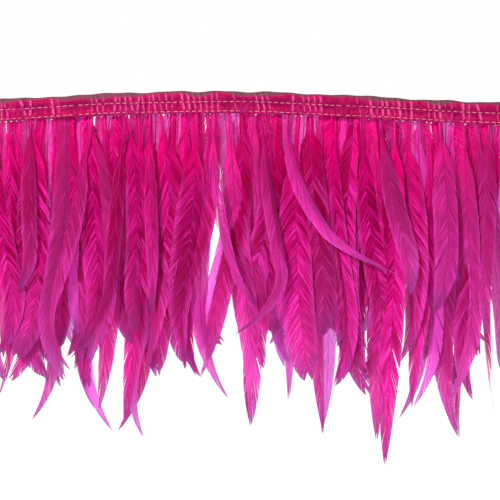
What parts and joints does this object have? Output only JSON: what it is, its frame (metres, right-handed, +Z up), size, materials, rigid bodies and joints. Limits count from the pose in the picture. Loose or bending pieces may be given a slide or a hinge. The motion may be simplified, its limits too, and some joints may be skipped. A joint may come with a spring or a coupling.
{
  "type": "feather fringe trim",
  "caption": "Strip of dyed rooster tail feathers in staggered layers, hanging from a folded satin ribbon with two rows of stitching; it wraps and the feathers swing.",
  "frame": {"origin": "on the ribbon's back face at the middle of the strip, halfway between the two rows of stitching", "axes": "+X along the ribbon to the right as seen from the front, +Y out of the ribbon's back face, +Z up; the feathers hang down -Z and the front faces -Y"},
  "size_m": [0.914, 0.0223, 0.2588],
  "materials": {
    "ribbon": "crimson-rose satin ribbon, folded and pushed into ridges by the quills",
    "stay_tape": "woven cotton tape",
    "quill": "dyed horn-like quill, flattened",
    "cord": "twisted cotton string",
    "thread": "pale pink polyester sewing thread",
    "front_feathers": "dyed feather, satin sheen along the barbs",
    "middle_feathers": "dyed feather, satin sheen along the barbs",
    "back_feathers": "dyed feather, lighter where single and translucent"
  },
  "bodies": {
    "header_1": {"ribbon_1": "ribbon", "stay_tape_1": "stay_tape", "quill_ends_1": "quill", "stringing_cord_1": "cord", "upper_stitching_1": "thread", "lower_stitching_1": "thread"},
    "header_2": {"ribbon_2": "ribbon", "stay_tape_2": "stay_tape", "quill_ends_2": "quill", "stringing_cord_2": "cord", "upper_stitching_2": "thread", "lower_stitching_2": "thread"},
    "header_3": {"ribbon_3": "ribbon", "stay_tape_3": "stay_tape", "quill_ends_3": "quill", "stringing_cord_3": "cord", "upper_stitching_3": "thread", "lower_stitching_3": "thread"},
    "header_4": {"ribbon_4": "ribbon", "stay_tape_4": "stay_tape", "quill_ends_4": "quill", "stringing_cord_4": "cord", "upper_stitching_4": "thread", "lower_stitching_4": "thread"},
    "header_5": {"ribbon_5": "ribbon", "stay_tape_5": "stay_tape", "quill_ends_5": "quill", "stringing_cord_5": "cord", "upper_stitching_5": "thread", "lower_stitching_5": "thread"},
    "feather_curtain_1": {"feathers_1_row_1": "front_feathers", "feathers_1_row_2": "front_feathers", "feathers_1_row_3": "middle_feathers", "feathers_1_row_4": "middle_feathers", "feathers_1_row_5": "back_feathers", "feathers_1_row_6": "back_feathers"},
    "feather_curtain_2": {"feathers_2_row_1": "front_feathers", "feathers_2_row_2": "front_feathers", "feathers_2_row_3": "middle_feathers", "feathers_2_row_4": "middle_feathers", "feathers_2_row_5": "back_feathers", "feathers_2_row_6": "back_feathers"},
    "feather_curtain_3": {"feathers_3_row_1": "front_feathers", "feathers_3_row_2": "front_feathers", "feathers_3_row_3": "middle_feathers", "feathers_3_row_4": "middle_feathers", "feathers_3_row_5": "back_feathers", "feathers_3_row_6": "back_feathers"},
    "feather_curtain_4": {"feathers_4_row_1": "front_feathers", "feathers_4_row_2": "front_feathers", "feathers_4_row_3": "middle_feathers", "feathers_4_row_4": "middle_feathers", "feathers_4_row_5": "back_feathers", "feathers_4_row_6": "back_feathers"},
    "feather_curtain_5": {"feathers_5_row_1": "front_feathers", "feathers_5_row_2": "front_feathers", "feathers_5_row_3": "middle_feathers", "feathers_5_row_4": "middle_feathers", "feathers_5_row_5": "back_feathers", "feathers_5_row_6": "back_feathers"}
  },
  "joints": [
    {"name": "bend_left_inner", "type": "hinge", "parent": "header_3", "child": "header_2", "pos_m": [-0.09144, 0, 0], "axis": [0, 0, -1], "range_deg": [0, 30]},
    {"name": "bend_left_outer", "type": "hinge", "parent": "header_2", "child": "header_1", "pos_m": [-0.27432, 0, 0], "axis": [0, 0, -1], "range_deg": [0, 30]},
    {"name": "bend_right_inner", "type": "hinge", "parent": "header_3", "child": "header_4", "pos_m": [0.09144, 0, 0], "axis": [0, 0, 1], "range_deg": [0, 30]},
    {"name": "bend_right_outer", "type": "hinge", "parent": "header_4", "child": "header_5", "pos_m": [0.27432, 0, 0], "axis": [0, 0, 1], "range_deg": [0, 30]},
    {"name": "feather_swing_1", "type": "hinge", "parent": "header_1", "child": "feather_curtain_1", "pos_m": [-0.36576, -0.0046, -0.00459], "axis": [-1, 0, 0], "range_deg": [0, 70]},
    {"name": "feather_swing_2", "type": "hinge", "parent": "header_2", "child": "feather_curtain_2", "pos_m": [-0.18288, -0.0046, -0.00707], "axis": [-1, 0, 0], "range_deg": [0, 70]},
    {"name": "feather_swing_3", "type": "hinge", "parent": "header_3", "child": "feather_curtain_3", "pos_m": [0, -0.0046, -0.0044], "axis": [-1, 0, 0], "range_deg": [0, 70]},
    {"name": "feather_swing_4", "type": "hinge", "parent": "header_4", "child": "feather_curtain_4", "pos_m": [0.18288, -0.0046, -0.00707], "axis": [-1, 0, 0], "range_deg": [0, 70]},
    {"name": "feather_swing_5", "type": "hinge", "parent": "header_5", "child": "feather_curtain_5", "pos_m": [0.36576, -0.0046, -0.00459], "axis": [-1, 0, 0], "range_deg": [0, 70]}
  ]
}
